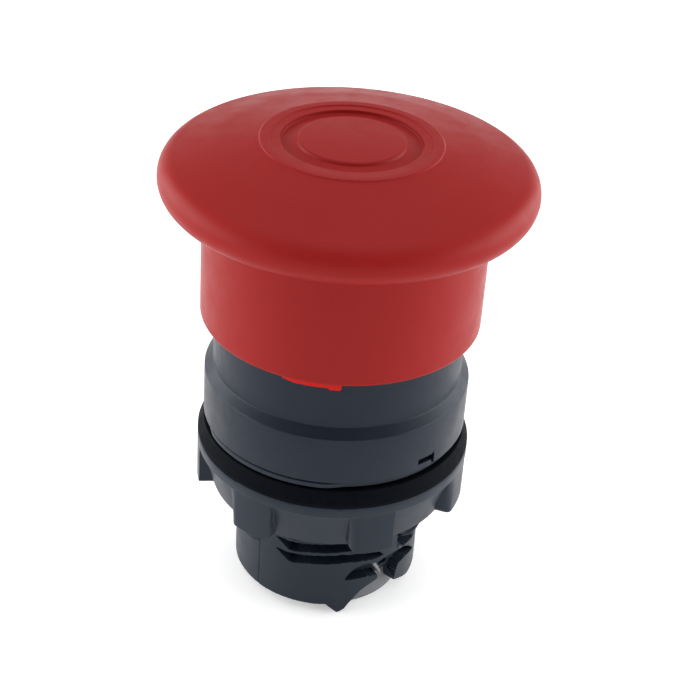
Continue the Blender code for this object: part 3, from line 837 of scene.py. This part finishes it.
def lug_share(azimuth, z):
    """1 on a lug's face, 0 on the nut's wall: a crisp right flank, a rounded left flank and foot."""
    turn = 360.0 / LUGS
    off = (azimuth - LUG_FIRST + turn / 2) % turn - turn / 2
    across = off * NUT_R * math.pi / 180.0
    broad = BROAD_LUG[0] < wrapped(azimuth) < BROAD_LUG[1]
    if across > 0.0:
        corner = BROAD_CORNER if broad else CORNER_RIGHT
        side = LUG_RIGHT + (BROAD_RIGHT if broad else 0.0) - across
    else:
        corner = CORNER_LEFT
        side = LUG_LEFT + (BROAD_LEFT if broad else 0.0) + across
    dx, dz = corner - side, LUG_LOW + corner - z
    if dx > 0.0 and dz > 0.0:
        inside = corner - math.hypot(dx, dz)
    else:
        inside = min(side, z - LUG_LOW)
    if across > 0.0:
        return smooth_step(inside, -0.12, 0.10)
    crown = min(1.0, max(0.0, side + 0.05) / 1.25)
    return smooth_step(inside, -0.12, 0.10) * math.sqrt(max(0.0, 1.0 - (1.0 - crown) ** 2))


def nut_outline(azimuth, rows):
    """Closed outline of the nut at an azimuth: flange, tapering wall with lugs, and bore."""
    here = wrapped(azimuth)
    nib = 0.10 * sum(max(0.0, 1.0 - abs(wrapped(azimuth - at)) / 0.7) for at in NIBS)
    step = 0.10 * (1.0 - smooth_step(here, -40.6, -39.6)) * smooth_step(here, -75.0, -60.0)
    points = [
        (11.5, 0.08), (NUT_R - 0.13, 0.10 - step), (NUT_R - 0.04, 0.05 - step),
        (NUT_R + nib, -0.08 - step), (NUT_R, -0.4), (NUT_R, -1.12),
    ]
    for z in rows:
        cone = WALL_R + (z - WALL_TOP) / (WALL_TOP - NUT_FOOT) * WALL_TAPER
        flange = 1.0 - smooth_step(-z, 1.17, 1.31)
        share = max(flange, lug_share(azimuth, z))
        points.append((cone + (NUT_R - 0.01 - cone) * share, z))
    return points + [(13.5, NUT_FOOT), (11.65, NUT_FOOT), (11.5, -6.0)]


def make_nut():
    """Flanged nut with seven gripping lugs."""
    turn = 360.0 / LUGS
    offsets = [-turn / 2 + i for i in range(12)]
    offsets += [-14.0 + 0.25 * i for i in range(97)]  # close together over a lug
    offsets += [10.25 + i for i in range(16) if 10.25 + i < turn / 2 - 0.5]
    azimuths = [LUG_FIRST + turn * i + o for i in range(LUGS) for o in offsets]
    rows = [-1.16 - 0.04 * i for i in range(5)] + [-1.4 - 0.1 * i for i in range(43)]
    rows += [-5.65 - 0.05 * i for i in range(9)]
    outlines = [nut_outline(a, rows) for a in azimuths]
    plastic = moulded_plastic("nut_plastic", NUT_DARK, 0.42, specular=PLASTIC_SHINE, glint=COOL)
    add_piece("castellated_nut", swept_mesh("castellated_nut", azimuths, outlines), plastic,
              "nut_plastic", "nut", "fixing_nut", smooth=38.0)


# ---------------------------------------------------------------- spring and inner pieces

def make_return_spring():
    """Round wire spring with closed, ground ends, at its rest length."""
    low, high, wire, coil = -15.0, -4.0, 0.4, 7.6  # 11 mm long at rest, 6 mm with the button down
    turns, per_turn, sides = 6.5, 48, 14
    count = int(turns * per_turn)
    levels = [(0.0, low + 0.15), (1.0, low + 1.0), (turns - 1.0, high - 1.0), (turns, high - 0.15)]
    verts, faces = [], []
    for i in range(count + 1):
        a = 2 * math.pi * turns * i / count
        middle = between(turns * i / count, levels)
        outward = Vector((math.sin(a), -math.cos(a), 0.0))
        for k in range(sides):
            b = 2 * math.pi * k / sides
            place = outward * (coil + wire * math.cos(b))
            z = min(high, max(low, middle + wire * math.sin(b)))
            verts.append((place.x * MM, place.y * MM, z * MM))
    for i in range(count):
        for k in range(sides):
            m = (k + 1) % sides
            faces.append((i * sides + k, i * sides + m, (i + 1) * sides + m, (i + 1) * sides + k))
    faces.append(tuple(range(sides)))
    faces.append(tuple(count * sides + k for k in reversed(range(sides))))
    mesh = bpy.data.meshes.new("return_coil")
    mesh.from_pydata(verts, [], faces)
    spring = add_piece("return_coil", mesh, bright_steel("spring_wire"),
                       "steel", "housing", "return_spring")
    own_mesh(spring)


def make_turned_pieces():
    """The smaller round pieces inside, with their corners broken."""
    natural = moulded_plastic("natural_acetal", NATURAL, 0.42, vary=0.04)
    rubber_black = rubber("seal_rubber")
    dark = moulded_plastic("inner_dark_plastic", COLLAR_DARK, 0.45, specular=PLASTIC_SHINE, glint=COOL)
    grey = moulded_plastic("grey_retainer_plastic", RETAINER_GREY, 0.5, vary=0.2)
    pieces = [
        ("stem_shaft", "operating_stem", "natural_plastic", natural, "button", [
            (0, 19.0), (1.75, 19.0), (1.75, 27.9, 0.15), (3.0, 27.9, 0.25), (3.0, 23.7), (4.3, 23.7, 0.3),
            (4.3, 6.75, 0.15), (3.3, 5.95, 0.1), (1.7, 5.95, 0.2), (1.7, 4.05, 0.2), (3.3, 4.05, 0.1),
            (4.3, 3.25, 0.15), (4.3, -2.4, 0.3), (8.3, -2.4, 0.25), (8.3, -3.7, 0.25), (4.3, -3.7, 0.3),
            (4.3, -10.9, 0.2), (3.0, -10.9, 0.1), (3.0, -15.5, 0.3), (0, -15.5)]),
        ("pusher_foot", "contact_pusher", "natural_plastic", natural, "button", [
            (0, -18.4), (4.9, -18.4, 0.35), (4.9, -11.2, 0.25), (3.3, -11.2, 0.15), (3.3, -15.8),
            (0, -15.8)]),
        ("washer_disc", "screw_washer", "steel", bright_steel("washer_plate"), "button", [
            (1.75, 29.7), (3.5, 29.7, 0.1), (3.5, 30.2, 0.1), (1.75, 30.2, 0.05)]),
        ("lip_seal", "wiper_seal", "black_rubber", rubber_black, "housing", [
            (8.5, 14.5, 0.15), (8.5, 16.6, 0.15), (6.9, 16.6, 0.15), (6.9, 15.4, 0.2), (5.5, 15.4, 0.2),
            (4.72, 16.8, 0.05), (4.6, 16.3, 0.05), (5.1, 14.5, 0.15)]),
        ("seal_ring", "seal_retainer", "dark_plastic", dark, "housing", [
            (6.2, 16.9, 0.15), (12.0, 16.9, 0.2), (12.0, 18.2, 0.2), (6.2, 18.2, 0.2)]),
        ("spring_seat", "spring_retainer", "grey_plastic", grey, "housing", [
            (7.3, -18.6, 0.1), (8.93, -18.6, 0.10), (8.93, -15.3, 0.12), (6.8, -15.3, 0.08),
            (6.8, -14.3, 0.15), (6.0, -14.3, 0.15), (6.0, -15.3, 0.08), (5.2, -15.3, 0.12),
            (5.2, -16.7, 0.2), (7.3, -16.7, 0.2)]),
        ("oring", "housing_oring", "black_rubber", rubber_black, "housing", [
            (12.35 + 0.75 * math.cos(math.radians(15 * i)), 5.05 + 0.75 * math.sin(math.radians(15 * i)))
            for i in range(24)]),
    ]
    for name, node, slot, finish, body, corners in pieces:
        mesh = turned_mesh(name, rounded(corners, 4), SMALL_STEPS)
        add_piece(name, mesh, finish, slot, body, node)


def finish_cad_nodes():
    """Materials of the latch and the screw, whose CAD shapes stay."""
    acetal = moulded_plastic("cage_acetal", NATURAL, 0.45, vary=0.04)
    lever = bright_steel("lever_plate", (0.58, 0.57, 0.55), 0.32)
    pin = bright_steel("pin_rod", (0.66, 0.66, 0.65), 0.20)
    ring = bright_steel("ring_spring_strip", (0.50, 0.51, 0.52), 0.28)
    zinc = bright_steel("zinc_screw", (0.64, 0.65, 0.66), 0.24)
    kept = {
        "latch_cage": acetal, "latch_lever_left": lever, "latch_lever_right": lever, "latch_pin_left": pin,
        "latch_pin_right": pin, "latch_ring_spring": ring, "carrier_screw": zinc,
    }
    for name, finish in kept.items():
        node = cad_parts[name]
        if node.material_slots:
            for slot in node.material_slots:
                slot.material = finish
        else:
            node.data.materials.append(finish)


def main():
    make_camera()
    make_world()
    make_stage()
    make_cap()
    make_carrier()
    make_collar()
    make_gasket()
    make_barrel()
    make_highlight_strips()
    make_nut()
    make_return_spring()
    make_turned_pieces()
    finish_cad_nodes()


main()
